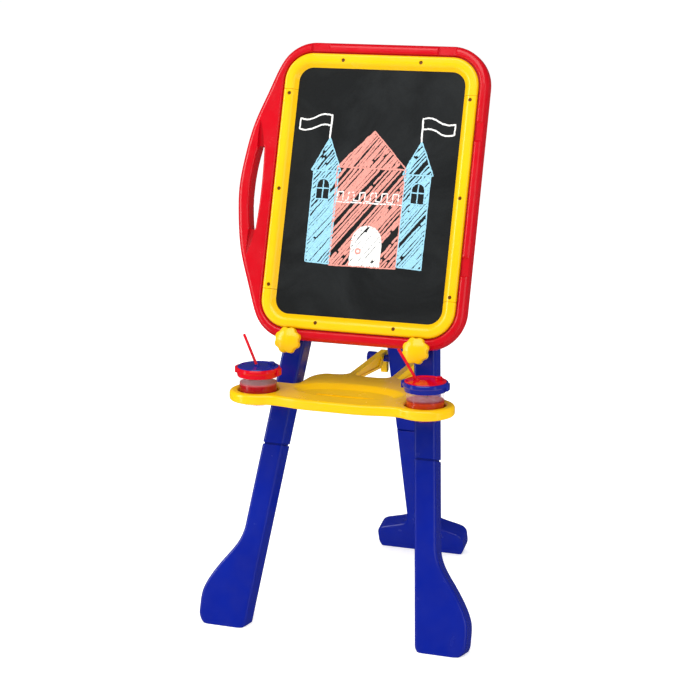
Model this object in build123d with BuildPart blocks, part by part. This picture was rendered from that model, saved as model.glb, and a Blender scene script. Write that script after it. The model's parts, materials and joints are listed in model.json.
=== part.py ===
"""A child's standing easel: two plug-together front legs, a folding rear leg, a lift-off double board
with a carrying handle, a swing-down tray that braces the legs, and two lidded paint cups with brushes.

Millimetres. +X is the easel's right-hand side as seen from the front, +Y points to the back, +Z is up.
The origin is on the floor, in the middle of the easel's bounding box.
"""

from build123d import *
import math
import os

os.makedirs("parts", exist_ok=True)

# ------------------------------------------------------------------ driving dimensions
front_lean = 17.5            # front legs and board lean back from vertical, degrees
front_line = -282.93         # floor line of the front legs' front faces (Y)
rear_line = front_line + 546.0   # floor line of the rear leg's centre (Y)
fit_gap = 0.15               # plug-in clearance per side
bore_gap = 0.08              # running clearance on a radius

leg_size = 40.0              # front legs: square section
leg_wall = 3.2
leg_reach = 202.1            # outer edge of a front leg at the floor, from the centre plane
leg_taper = 0.1108           # sideways lean of a front leg per unit of rise
leg_round = 5.5
leg_top = 840.0
front_seam = 337.0           # rise of the joint between the upper and lower front leg
seam_gap = 3.0
plug_length = 60.0

foot_flare = 188.0           # rise where the foot starts to widen
foot_reach = 253.2           # widest point of the foot, from the centre plane

hinge_rise = 780.6           # rear-leg hinge, measured up the front legs
hinge_depth = 70.0           # and behind their front faces
hinge_pin_radius = 4.0

rear_width = 44.0
rear_depth = 40.0
rear_seam = 295.0
rear_foot_half = 89.5
brace_rise = 445.5           # brace bar, measured up the rear leg
brace_radius = 7.0
brace_cap_radius = 11.0

board_rise = 797.3           # board centre, measured up the front legs
board_middle = 17.9          # board mid-plane in front of the legs' front faces
board_half = (201.0, 271.0)  # red frame, half width and half height
board_corner = 72.0
shell_height = 15.5          # half thickness of the red frame
bezel_half = (183.0, 250.5)
bezel_corner = 52.0
bezel_band = 25.3
bezel_top = 17.3
panel_half = (166.0, 233.5)
panel_corner = 35.0
panel_sheet = 3.0
core_half = 4.4              # half thickness of the board's core

knob_across = 120.8          # clamp knobs, from the centre plane
knob_rise = 523.6
knob_radius = 24.2
bolt_radius = 4.0
shoulder_radius = 8.0

pivot_rise = 417.5           # tray pivot, measured up the front legs
pivot_depth = 20.0
pivot_radius = 4.0
tray_under = 413.0
tray_top = 431.0
cup_across = 156.7           # cup centres
cup_forward = front_line + 67.5
ring_radius = 51.5

cup_radius = 34.7
cup_neck = 31.0
cup_wall = 1.6
cup_bottom = 405.0
cup_seat = 424.0
cup_rim = 470.0

sides = {"left": -1, "right": 1}

# ------------------------------------------------------------------ reference planes
lean = math.radians(front_lean)
rise_dir = Vector(0, math.sin(lean), math.cos(lean))
face_dir = Vector(0, -math.cos(lean), math.sin(lean))
legs = Plane(origin=(0, front_line, 0), x_dir=(1, 0, 0), z_dir=face_dir)

hinge_point = legs.from_local_coords(Vector(0, hinge_rise, -hinge_depth))
rear_tilt = math.atan2(rear_line - hinge_point.Y, hinge_point.Z)
rear_length = math.hypot(rear_line - hinge_point.Y, hinge_point.Z)   # floor to hinge
rear_rise_dir = Vector(0, -math.sin(rear_tilt), math.cos(rear_tilt))
rear_face_dir = Vector(0, -math.cos(rear_tilt), -math.sin(rear_tilt))
rear = Plane(origin=(0, rear_line, 0), x_dir=(1, 0, 0), z_dir=rear_face_dir)

board = Plane(
    origin=legs.from_local_coords(Vector(0, board_rise, board_middle)),
    x_dir=(1, 0, 0),
    z_dir=face_dir,
)
pivot_point = legs.from_local_coords(Vector(0, pivot_rise, -pivot_depth))
brace_point = rear.from_local_coords(Vector(0, brace_rise, 0))


def finish(part, name):
    """Label a finished piece and write it."""
    part.part.label = name
    export_step(part.part, f"parts/{name}.step")


def cross_plane(point, across=0.0):
    """Plane square to X through a point, for pins and bores that run across the easel."""
    return Plane(origin=(across, point.Y, point.Z), x_dir=(0, 1, 0), z_dir=(1, 0, 0))


# ------------------------------------------------------------------ front legs
def outer_edge(rise):
    return leg_reach - leg_taper * rise


def inner_edge(rise):
    return outer_edge(rise) - leg_size


def draw_leg_stretch(side, low, high, inset):
    """Draw one straight stretch of a front leg in the active sketch, its sides drawn in by inset."""
    Polygon(
        (side * (inner_edge(low) + inset), low),
        (side * (outer_edge(low) - inset), low),
        (side * (outer_edge(high) - inset), high),
        (side * (inner_edge(high) + inset), high),
        align=None,
    )


def ring_edges(part, plane_axis, drop_axis):
    """Outline edges of a part's two faces across plane_axis, without the one furthest up drop_axis."""
    faces = part.faces().sort_by(plane_axis)
    front = faces[-1].edges().sort_by(drop_axis)[:-1]
    back = faces[0].edges().sort_by(drop_axis)[:-1]
    return front + back


def lower_leg(side):
    """Lower front leg: a socketed tube that widens outward into a flat-bottomed foot."""
    seam = front_seam - seam_gap / 2
    widest = 38.0
    corner = 28.0
    toe = 20.0
    sole = -5.0                      # the outline runs below the floor and is then cut level
    with BuildPart() as leg:
        with BuildSketch(legs):
            with BuildLine():
                top_in = (side * inner_edge(seam), seam)
                top_out = (side * outer_edge(seam), seam)
                flare = (side * outer_edge(foot_flare), foot_flare)
                ball = (side * foot_reach, widest)
                heel_side = (side * foot_reach, sole + corner)
                heel_sole = (side * (foot_reach - corner), sole)
                toe_tip = (side * inner_edge(sole), sole)
                Line(top_in, top_out)
                Line(top_out, flare)
                Spline(
                    flare,
                    (side * 214.5, 123.0),
                    (side * 246.0, 74.0),
                    ball,
                    tangents=[(side * leg_taper, -1), (0, -1)],
                )
                Line(ball, heel_side)
                RadiusArc(heel_side, heel_sole, side * corner)
                Polyline(heel_sole, toe_tip, top_in)
            make_face()
            fillet(vertices().sort_by_distance((side * inner_edge(sole), sole, 0))[0], toe)
        extrude(amount=-leg_size)
        up = Axis((0, 0, 0), rise_dir)
        out = Axis((0, 0, 0), face_dir)
        fillet(ring_edges(leg, out, up), leg_round)
        mouth = leg.faces().sort_by(up)[-1]
        chamfer(mouth.edges(), 0.8)
        with BuildSketch(legs.offset(-leg_wall)):
            draw_leg_stretch(side, 46, seam + 1, leg_wall)
        extrude(amount=-(leg_size - 2 * leg_wall), mode=Mode.SUBTRACT)
        with BuildSketch(Plane((0, front_line, 0))):
            Rectangle(1000, 400)
        extrude(amount=-40, mode=Mode.SUBTRACT)
    return leg


def upper_leg(side):
    seam = front_seam + seam_gap / 2
    plug = front_seam - plug_length
    inset = leg_wall + fit_gap
    with BuildPart() as leg:
        with BuildSketch(legs):
            draw_leg_stretch(side, seam, leg_top, 0)
        extrude(amount=-leg_size)
        up = Axis((0, 0, 0), rise_dir)
        long_edges = leg.edges().filter_by(
            lambda edge: edge.length > 200
        )
        fillet(long_edges, leg_round)
        fillet(leg.faces().sort_by(up)[-1].edges(), 5)
        chamfer(leg.faces().sort_by(up)[0].edges(), 0.8)
        with BuildSketch(legs.offset(-inset)):
            draw_leg_stretch(side, plug, seam + 2, inset)
        extrude(amount=-(leg_size - 2 * inset))
        with BuildSketch(legs.offset(-2 * leg_wall)):
            draw_leg_stretch(side, plug - 1, leg_top - 12, 2 * leg_wall)
        extrude(amount=-(leg_size - 4 * leg_wall), mode=Mode.SUBTRACT)
        with BuildSketch(legs):
            with Locations((side * knob_across, knob_rise)):
                Circle(bolt_radius + bore_gap)
        extrude(amount=-25, mode=Mode.SUBTRACT)
        with BuildSketch(legs.offset(-leg_size)):
            with Locations(*yoke_screw_spots(side)):
                Circle(yoke_screw_radius)
        extrude(amount=12, mode=Mode.SUBTRACT)
        with BuildSketch(cross_plane(pivot_point, side * 100)):
            Circle(pivot_radius)
        extrude(amount=side * 30, mode=Mode.SUBTRACT)
    return leg


yoke_screw_radius = 2.2
yoke_low = 756.0
yoke_high = 812.0


def yoke_screw_spots(side):
    return [
        (side * (inner_edge(rise) + leg_size / 2), rise)
        for rise in (yoke_low + 12, yoke_high - 12)
    ]


# ------------------------------------------------------------------ hinge yoke behind the legs
yoke_plate = 6.0
cheek_inner = rear_width / 2 + 0.6
cheek_thick = 8.0
cheek_radius = 14.0


def hinge_yoke():
    """Cross plate screwed to the backs of the front legs, with two cheeks that hold the hinge pin."""
    back = legs.offset(-leg_size)
    with BuildPart() as yoke:
        with BuildSketch(back):
            with Locations((0, (yoke_low + yoke_high) / 2)):
                RectangleRounded(212, yoke_high - yoke_low, 12)
        extrude(amount=-yoke_plate)
        for side in (-1, 1):
            with BuildSketch(cross_plane(hinge_point, side * cheek_inner)):
                Circle(cheek_radius)
            extrude(amount=side * cheek_thick)
            with BuildSketch(legs.offset(-hinge_depth)):
                with Locations((side * (cheek_inner + cheek_thick / 2), hinge_rise)):
                    Rectangle(cheek_thick, 2 * cheek_radius)
            extrude(amount=hinge_depth - leg_size - yoke_plate / 2)
        for rise in (yoke_low + 4, yoke_high - 4):
            with BuildSketch(back.offset(-yoke_plate)):
                with Locations((0, rise)):
                    Rectangle(150, 4)
            extrude(amount=-3)
        with BuildSketch(cross_plane(hinge_point, -50)):
            Circle(hinge_pin_radius)
        extrude(amount=100, mode=Mode.SUBTRACT)
        with BuildSketch(back):
            with Locations(*yoke_screw_spots(-1), *yoke_screw_spots(1)):
                Circle(yoke_screw_radius)
        extrude(amount=-yoke_plate, mode=Mode.SUBTRACT)
    return yoke


def yoke_screws():
    with BuildPart() as screws:
        with BuildSketch(legs.offset(-leg_size - yoke_plate)):
            with Locations(*yoke_screw_spots(-1), *yoke_screw_spots(1)):
                Circle(4.2)
        extrude(amount=-2.6)
        fillet(screws.faces().group_by(Axis((0, 0, 0), face_dir))[0].edges(), 1.2)
        with BuildSketch(legs.offset(-leg_size - yoke_plate)):
            with Locations(*yoke_screw_spots(-1), *yoke_screw_spots(1)):
                Circle(yoke_screw_radius - 0.05)
        extrude(amount=yoke_plate + 10)
    return screws


def hinge_pin():
    end = cheek_inner + cheek_thick + 0.5
    with BuildPart() as pin:
        with BuildSketch(cross_plane(hinge_point, -end)):
            Circle(hinge_pin_radius)
        extrude(amount=2 * end)
        for side in (-1, 1):
            with BuildSketch(cross_plane(hinge_point, side * end)):
                Circle(hinge_pin_radius + 2.5)
            extrude(amount=side * 3)
    return pin


# ------------------------------------------------------------------ rear leg
def rear_leg_upper():
    seam = rear_seam + seam_gap / 2
    plug = rear_seam - plug_length
    inset = leg_wall + fit_gap
    long_up = Axis((0, 0, 0), rear_rise_dir)
    with BuildPart() as leg:
        with BuildSketch(rear.offset(-rear_depth / 2)):
            with Locations((0, (seam + rear_length) / 2)):
                Rectangle(rear_width, rear_length - seam)
        extrude(amount=rear_depth)
        with BuildSketch(cross_plane(hinge_point, -rear_width / 2)):
            Circle(rear_depth / 2)
        extrude(amount=rear_width)
        long_edges = leg.edges().filter_by(lambda edge: edge.length > 200)
        fillet(long_edges, leg_round - 0.5)
        chamfer(leg.faces().sort_by(long_up)[0].edges(), 0.8)
        with BuildSketch(rear.offset(-rear_depth / 2 + inset)):
            with Locations((0, (plug + seam) / 2 + 1)):
                Rectangle(rear_width - 2 * inset, seam - plug + 2)
        extrude(amount=rear_depth - 2 * inset)
        with BuildSketch(rear.offset(-rear_depth / 2 + 2 * leg_wall)):
            with Locations((0, (plug + rear_length - 30) / 2 - 1)):
                Rectangle(rear_width - 4 * leg_wall, rear_length - 30 - plug + 2)
        extrude(amount=rear_depth - 4 * leg_wall, mode=Mode.SUBTRACT)
        with BuildSketch(cross_plane(hinge_point, -50)):
            Circle(hinge_pin_radius + bore_gap)
        extrude(amount=100, mode=Mode.SUBTRACT)
        with BuildSketch(cross_plane(brace_point, -50)):
            Circle(brace_radius)
        extrude(amount=100, mode=Mode.SUBTRACT)
    return leg


def draw_rear_foot_side(side, seam):
    """Draw one half of the rear leg's lower outline, from the seam down to the middle of the sole."""
    sole = -7.0                      # below the floor, as the sole is cut level afterwards
    corner = 29.0
    half = rear_width / 2
    shoulder = (side * 74.0, 54.5)
    slope = (side * 0.96, -0.27)
    Line((0, seam), (side * half, seam))
    Line((side * half, seam), (side * half, 88.0))
    Spline(
        (side * half, 88.0),
        (side * 27.5, 71.0),
        (side * 42.0, 63.5),
        shoulder,
        tangents=[(0, -1), slope],
    )
    Spline(
        shoulder,
        (side * 85.0, 48.5),
        (side * rear_foot_half, 37.0),
        tangents=[slope, (0, -1)],
    )
    Line((side * rear_foot_half, 37.0), (side * rear_foot_half, sole + corner))
    RadiusArc(
        (side * rear_foot_half, sole + corner),
        (side * (rear_foot_half - corner), sole),
        side * corner,
    )
    Line((side * (rear_foot_half - corner), sole), (0, sole))


def rear_leg_lower():
    """Lower rear leg: a socketed tube that spreads into a wide, rounded foot."""
    seam = rear_seam - seam_gap / 2
    up = Axis((0, 0, 0), rear_rise_dir)
    with BuildPart() as leg:
        with BuildSketch(rear.offset(-rear_depth / 2)):
            with BuildLine():
                draw_rear_foot_side(1, seam)
                draw_rear_foot_side(-1, seam)
            make_face()
        extrude(amount=rear_depth)
        outline = ring_edges(leg, Axis((0, 0, 0), rear_face_dir), up)
        fillet([edge for edge in outline if edge.center().Z < seam * math.cos(rear_tilt) - 8], leg_round - 0.5)
        chamfer(leg.faces().sort_by(up)[-1].edges(), 0.8)
        with BuildSketch(rear.offset(-rear_depth / 2 + leg_wall)):
            with Locations((0, (70 + seam + 1) / 2)):
                Rectangle(rear_width - 2 * leg_wall, seam + 1 - 70)
        extrude(amount=rear_depth - 2 * leg_wall, mode=Mode.SUBTRACT)
        with BuildSketch(Plane((0, rear_line, 0))):
            Rectangle(1000, 400)
        extrude(amount=-30, mode=Mode.SUBTRACT)
    return leg


brace_cap_start = 52.0
brace_cap_end = 70.0


def brace_bar():
    """Round bar through the rear leg that the tray's arms hook over."""
    with BuildPart() as bar:
        with BuildSketch(cross_plane(brace_point, -brace_cap_start - 8)):
            Circle(brace_radius)
        extrude(amount=2 * brace_cap_start + 16)
    return bar


def brace_caps():
    with BuildPart() as caps:
        for side in (-1, 1):
            with BuildSketch(cross_plane(brace_point, side * brace_cap_start)):
                Circle(brace_cap_radius)
            extrude(amount=side * (brace_cap_end - brace_cap_start))
        fillet(caps.edges().filter_by(GeomType.CIRCLE), 2.5)
        with BuildSketch(cross_plane(brace_point, -brace_cap_start - 8)):
            Circle(brace_radius)
        extrude(amount=2 * brace_cap_start + 16, mode=Mode.SUBTRACT)
    return caps


# ------------------------------------------------------------------ board
slot_outer = -230.0          # hand slot: outer and inner walls at mid height
slot_inner = -207.5
slot_half = 77.0             # and half its height
scoop_apex = (-222.0, 126.0)   # where a finger valley runs out above or below the slot
scoop_floor = 6.0
handle_reach = 252.8


def draw_board_outline():
    """Draw the red frame's outline: a rounded rectangle whose left side swells into the handle."""
    straight_x = board_half[0] - board_corner
    straight_y = board_half[1] - board_corner
    leave = math.radians(150)
    leave_x = -straight_x + board_corner * math.cos(leave)
    leave_y = straight_y + board_corner * math.sin(leave)
    swell = [(-213.0, 182.0), (-236.0, 118.0), (-248.5, 52.0)]
    below = [(x, -y) for x, y in reversed(swell)]
    Line((straight_x, board_half[1]), (-straight_x, board_half[1]))
    RadiusArc((-straight_x, board_half[1]), (leave_x, leave_y), -board_corner)
    Spline(
        (leave_x, leave_y),
        *swell,
        (-handle_reach, 0.0),
        *below,
        (leave_x, -leave_y),
        tangents=[(-math.sin(leave), math.cos(leave)), (math.sin(leave), math.cos(leave))],
    )
    RadiusArc((leave_x, -leave_y), (-straight_x, -board_half[1]), -board_corner)
    Line((-straight_x, -board_half[1]), (straight_x, -board_half[1]))
    RadiusArc((straight_x, -board_half[1]), (board_half[0], -straight_y), -board_corner)
    Line((board_half[0], -straight_y), (board_half[0], straight_y))
    RadiusArc((board_half[0], straight_y), (straight_x, board_half[1]), -board_corner)


def draw_hand_slot():
    """Draw the hand slot: a long opening with bowed walls."""
    outer_end = -221.5
    inner_end = -210.5
    ThreePointArc((outer_end, -slot_half), (slot_outer, 0), (outer_end, slot_half))
    Line((outer_end, slot_half), (inner_end, slot_half))
    ThreePointArc((inner_end, slot_half), (slot_inner, 0), (inner_end, -slot_half))
    Line((inner_end, -slot_half), (outer_end, -slot_half))


def finger_valley():
    """The hollow above the hand slot: its floor sinks from the frame's face to the slot's rim."""
    foot = slot_half - 11
    with BuildPart() as valley:
        with BuildSketch():
            with BuildLine():
                Spline(scoop_apex, (-213.8, 98), (-209.8, foot))
                Line((-209.8, foot), (-222.5, foot))
                Spline((-222.5, foot), (-223.8, 98), scoop_apex)
            make_face()
        extrude(amount=30)
        with BuildSketch(Plane.YZ.offset(-240)):
            with BuildLine():
                ThreePointArc((scoop_apex[1], shell_height + 0.4), (98, 9.6), (foot, scoop_floor))
                Polyline((foot, scoop_floor), (foot, 30), (scoop_apex[1], 30),
                         (scoop_apex[1], shell_height + 0.4))
            make_face()
        extrude(amount=60, mode=Mode.INTERSECT)
    return valley.part


def clip_recesses():
    """Four flats with slanted ends, cut across the frame's rounded crest: two on the right, two on top."""
    deep = shell_height - 3.2
    half = 19.5
    middle = 120.0
    with BuildPart() as cuts:
        for plane in (
            Plane.YZ.offset(bezel_half[0] + 3.4),
            Plane(origin=(0, bezel_half[1] + 3.4, 0), x_dir=(-1, 0, 0), z_dir=(0, 1, 0)),
        ):
            with BuildSketch(plane):
                for spot in (-middle, middle):
                    Polygon(
                        (spot - half, shell_height + 1),
                        (spot - half + 4, deep),
                        (spot + half - 4, deep),
                        (spot + half, shell_height + 1),
                        align=None,
                    )
            extrude(amount=30)
    return cuts.part


def board_shell():
    """Front half of the red frame, drawn on the board's mid-plane."""
    valley = finger_valley()
    recesses = clip_recesses()
    groove = 2.6
    groove_floor = 9.5
    bezel_seat = core_half + panel_sheet
    with BuildPart() as shell:
        with BuildSketch():
            with BuildLine():
                draw_board_outline()
            make_face()
        extrude(amount=shell_height)
        top = shell.faces().sort_by(Axis.Z)[-1]
        fillet(top.edges(), 9.5)
        with BuildSketch(Plane.XY.offset(groove_floor)):
            RectangleRounded(
                2 * (bezel_half[0] + groove), 2 * (bezel_half[1] + groove), bezel_corner + groove
            )
        extrude(amount=20, mode=Mode.SUBTRACT)
        rim = shell.faces().filter_by(Plane.XY).sort_by(Axis.Z)[-1]
        inner_rim = rim.inner_wires()
        fillet(inner_rim[0].edges(), 4.5)
        with BuildSketch(Plane.XY.offset(bezel_seat)):
            RectangleRounded(
                2 * bezel_half[0] + 0.6, 2 * bezel_half[1] + 0.6, bezel_corner + 0.3
            )
        extrude(amount=20, mode=Mode.SUBTRACT)
        with BuildSketch(Plane.XY.offset(core_half)):
            RectangleRounded(2 * panel_half[0] + 0.4, 2 * panel_half[1] + 0.4, panel_corner + 0.2)
        extrude(amount=20, mode=Mode.SUBTRACT)
        with BuildSketch():
            RectangleRounded(2 * panel_half[0] - 12, 2 * panel_half[1] - 12, panel_corner - 6)
        extrude(amount=20, mode=Mode.SUBTRACT)
        with BuildSketch() as slot:
            with BuildLine():
                draw_hand_slot()
            make_face()
            fillet(slot.vertices(), 4.4)
        extrude(amount=20, mode=Mode.SUBTRACT)
        slot_edges = shell.edges().filter_by(
            lambda edge: slot_outer - 2 < edge.center().X < slot_inner + 2
            and abs(edge.center().Z - shell_height) < 0.01
            and abs(edge.center().Y) < slot_half + 1
        )
        fillet(slot_edges, 4)
        add(valley, mode=Mode.SUBTRACT)
        add(mirror(valley, about=Plane.XZ, mode=Mode.PRIVATE), mode=Mode.SUBTRACT)
        add(recesses, mode=Mode.SUBTRACT)
        for across in (-knob_across, knob_across):
            with BuildSketch():
                with Locations((across, knob_rise - board_rise)):
                    Circle(shoulder_radius + 0.2)
                with Locations((across, knob_rise - board_rise - 10)):
                    Rectangle(2 * shoulder_radius + 0.4, 20)
            extrude(amount=20, mode=Mode.SUBTRACT)
        with BuildSketch():
            with Locations(*bezel_screw_spots()):
                Circle(1.3)
        extrude(amount=20, mode=Mode.SUBTRACT)
    return shell.part


def bezel_screw_spots():
    sides_xy = [(x * 171.4, y) for x in (-1, 1) for y in (-175.3, 0.0, 175.3)]
    ends_xy = [(x * 73.7, y * 238.5) for x in (-1, 1) for y in (-1, 1)]
    return sides_xy + ends_xy


def bezel_ring():
    """Yellow bezel as one ring, drawn on the board's mid-plane: crowned band with a sloping inner edge."""
    seat = core_half + panel_sheet
    inner = (bezel_half[0] - bezel_band, bezel_half[1] - bezel_band)
    slope = 9.0
    with BuildPart() as ring:
        with BuildSketch(Plane.XY.offset(seat)):
            RectangleRounded(2 * bezel_half[0], 2 * bezel_half[1], bezel_corner)
        extrude(amount=bezel_top - seat)
        fillet(ring.faces().sort_by(Axis.Z)[-1].edges(), 5)
        with BuildSketch(Plane.XY.offset(seat)):
            RectangleRounded(2 * inner[0], 2 * inner[1], bezel_corner - bezel_band)
        with BuildSketch(Plane.XY.offset(bezel_top)):
            RectangleRounded(
                2 * (inner[0] + slope), 2 * (inner[1] + slope), bezel_corner - bezel_band + slope
            )
        loft(mode=Mode.SUBTRACT)
        crest = ring.faces().filter_by(Plane.XY).sort_by(Axis.Z)[-1]
        fillet(crest.inner_wires()[0].edges(), 12)
        with BuildSketch(Plane.XY.offset(seat)):
            with Locations(*bezel_screw_spots()):
                Circle(1.6)
        extrude(amount=20, mode=Mode.SUBTRACT)
        with BuildSketch(Plane.XY.offset(bezel_top - 4)):
            with Locations(*bezel_screw_spots()):
                Circle(3.5)
        extrude(amount=20, mode=Mode.SUBTRACT)
    return ring.part


def bezel_pieces():
    """The ring cut into two end pieces and two side pieces."""
    cut = 183.0
    gap = 0.6
    ring = bezel_ring()
    side_box = Box(200, 2 * cut - gap, 60)
    end_box = Box(500, 200, 60)
    return {
        "top": ring & (Pos(0, cut + gap / 2 + 100, 0) * end_box),
        "bottom": ring & (Pos(0, -cut - gap / 2 - 100, 0) * end_box),
        "left": ring & (Pos(-150, 0, 0) * side_box),
        "right": ring & (Pos(150, 0, 0) * side_box),
    }


def bezel_screws():
    with BuildPart() as screws:
        with BuildSketch(Plane.XY.offset(bezel_top - 4)):
            with Locations(*bezel_screw_spots()):
                Circle(3.2)
        extrude(amount=1.8)
        with BuildSketch(Plane.XY.offset(bezel_top - 4)):
            with Locations(*bezel_screw_spots()):
                Circle(1.25)
        extrude(amount=-12)
        with BuildSketch(Plane.XY.offset(bezel_top - 2.2)):
            with Locations(*bezel_screw_spots()):
                Rectangle(3.6, 0.8)
                Rectangle(0.8, 3.6)
        extrude(amount=-1, mode=Mode.SUBTRACT)
    return screws.part


def panel(half, corner, low, high):
    with BuildPart() as sheet:
        with BuildSketch(Plane.XY.offset(low)):
            RectangleRounded(2 * half[0], 2 * half[1], corner)
        extrude(amount=high - low)
    return sheet.part


def place_on_board(solid, name, flip=False):
    """Put a piece drawn on the board's mid-plane in place; flip puts it on the back of the board."""
    with BuildPart() as piece:
        if flip:
            add(board.location * mirror(solid, about=Plane.XY, mode=Mode.PRIVATE))
        else:
            add(board.location * solid)
    finish(piece, name)


# ------------------------------------------------------------------ clamp knobs
knob_back = 34.6
knob_front = 51.8


def knob(side):
    """Clamp knob: a ring of soft lobes under a domed front."""
    lobes = 8
    lobe_radius = 7.5
    dome_radius = 42.0
    across = (side * knob_across, knob_rise)
    dome_middle = legs.from_local_coords(Vector(*across, knob_front - dome_radius))
    with BuildPart() as part:
        with BuildSketch(legs.offset(knob_back)):
            with Locations(across):
                Circle(knob_radius - 2.6)
                with PolarLocations(knob_radius - lobe_radius, lobes, start_angle=22.5):
                    Circle(lobe_radius)
        extrude(amount=knob_front - knob_back)
        with Locations(dome_middle):
            Sphere(dome_radius, mode=Mode.INTERSECT)
        crown = part.faces().sort_by(Axis((0, 0, 0), face_dir))[-1]
        fillet(crown.edges(), 2.2)
        with BuildSketch(legs.offset(knob_back)):
            with Locations(across):
                Circle(bolt_radius)
        extrude(amount=10, mode=Mode.SUBTRACT)
    return part


def knob_bolt(side):
    centre = (side * knob_across, knob_rise)
    with BuildPart() as bolt:
        with BuildSketch(legs.offset(-22)):
            with Locations(centre):
                Circle(bolt_radius)
        extrude(amount=22 + knob_back + 10)
        with BuildSketch(legs.offset(0.4)):
            with Locations(centre):
                Circle(shoulder_radius)
        extrude(amount=knob_back - 0.4)
    return bolt


def knob_nuts():
    with BuildPart() as nuts:
        with BuildSketch(legs.offset(-2 * leg_wall - 0.1)):
            with Locations((-knob_across, knob_rise), (knob_across, knob_rise)):
                RegularPolygon(7.5, 6)
                Circle(bolt_radius + bore_gap, mode=Mode.SUBTRACT)
        extrude(amount=-6.5)
    return nuts


# ------------------------------------------------------------------ tray
def draw_tray_half(side):
    """Draw half of the tray's plan outline, from the middle of the front edge to the middle of the back."""
    front = front_line + 17.0
    waist = front_line + 25.5
    back = front_line + 222.0
    notch = front_line + 129.0
    side_edge = 107.0
    low = math.radians(-120)
    high = math.radians(72)
    ring_in = (
        side * (cup_across + ring_radius * math.cos(low)),
        cup_forward + ring_radius * math.sin(low),
    )
    ring_side = (side * (cup_across + ring_radius), cup_forward)
    ring_out = (
        side * (cup_across + ring_radius * math.cos(high)),
        cup_forward + ring_radius * math.sin(high),
    )
    Spline(
        (0, front),
        (side * 62, front + 1.5),
        (side * 98, waist),
        ring_in,
        tangents=[(side, 0), (side * math.sin(-low), math.cos(low))],
    )
    ThreePointArc(ring_in, ring_side, ring_out)
    Spline(
        ring_out,
        (side * 146, notch),
        tangents=[(-side * math.sin(high), math.cos(high)), (-side, 0)],
    )
    Line((side * 146, notch), (side * (side_edge + 10), notch))
    RadiusArc((side * (side_edge + 10), notch), (side * side_edge, notch + 10), side * 10)
    Line((side * side_edge, notch + 10), (side * side_edge, notch + 38))
    Spline(
        (side * side_edge, notch + 38),
        (side * (side_edge - 9), back - 14),
        (side * 74, back),
        tangents=[(0, 1), (-side, 0)],
    )
    Spline(
        (side * 74, back),
        (side * (arm_far + 1), back + 20),
        tangents=[(-side, 0), (0, 1)],
    )
    ThreePointArc(
        (side * (arm_far + 1), back + 20),
        (side * (arm_near + arm_far) / 2, back + 27),
        (side * (arm_near - 1), back + 20),
    )
    Spline(
        (side * (arm_near - 1), back + 20),
        (side * 8, back),
        tangents=[(0, -1), (-side, 0)],
    )
    Line((side * 8, back), (0, back))


arm_near = 35.0
arm_far = 47.0


def draw_arm_profile():
    """Draw a tray arm's side profile: a bar whose end hooks down over the brace bar, heel behind it."""
    root = front_line + 226.0
    bar_y = brace_point.Y
    bar_z = brace_point.Z
    seat = brace_radius + 0.7
    back = bar_y + 20.5
    heel = bar_z - 31
    flank = (bar_y - seat * math.cos(0.5), bar_z + seat * math.sin(0.5))
    mouth = (bar_y - 21, bar_z - 15)
    Polyline(mouth, (root, tray_under + 3), (root, tray_top - 3), (bar_y + 11, bar_z + 13.5))
    ThreePointArc((bar_y + 11, bar_z + 13.5), (bar_y + 18, bar_z + 10.5), (back, bar_z + 4))
    Polyline(
        (back, bar_z + 4),
        (back, heel + 4),
        (back - 4, heel),
        (bar_y + seat + 3, heel),
        (bar_y + seat, heel + 4),
        (bar_y + seat, bar_z),
    )
    ThreePointArc((bar_y + seat, bar_z), (bar_y, bar_z + seat), flank)
    Line(flank, mouth)


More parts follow.
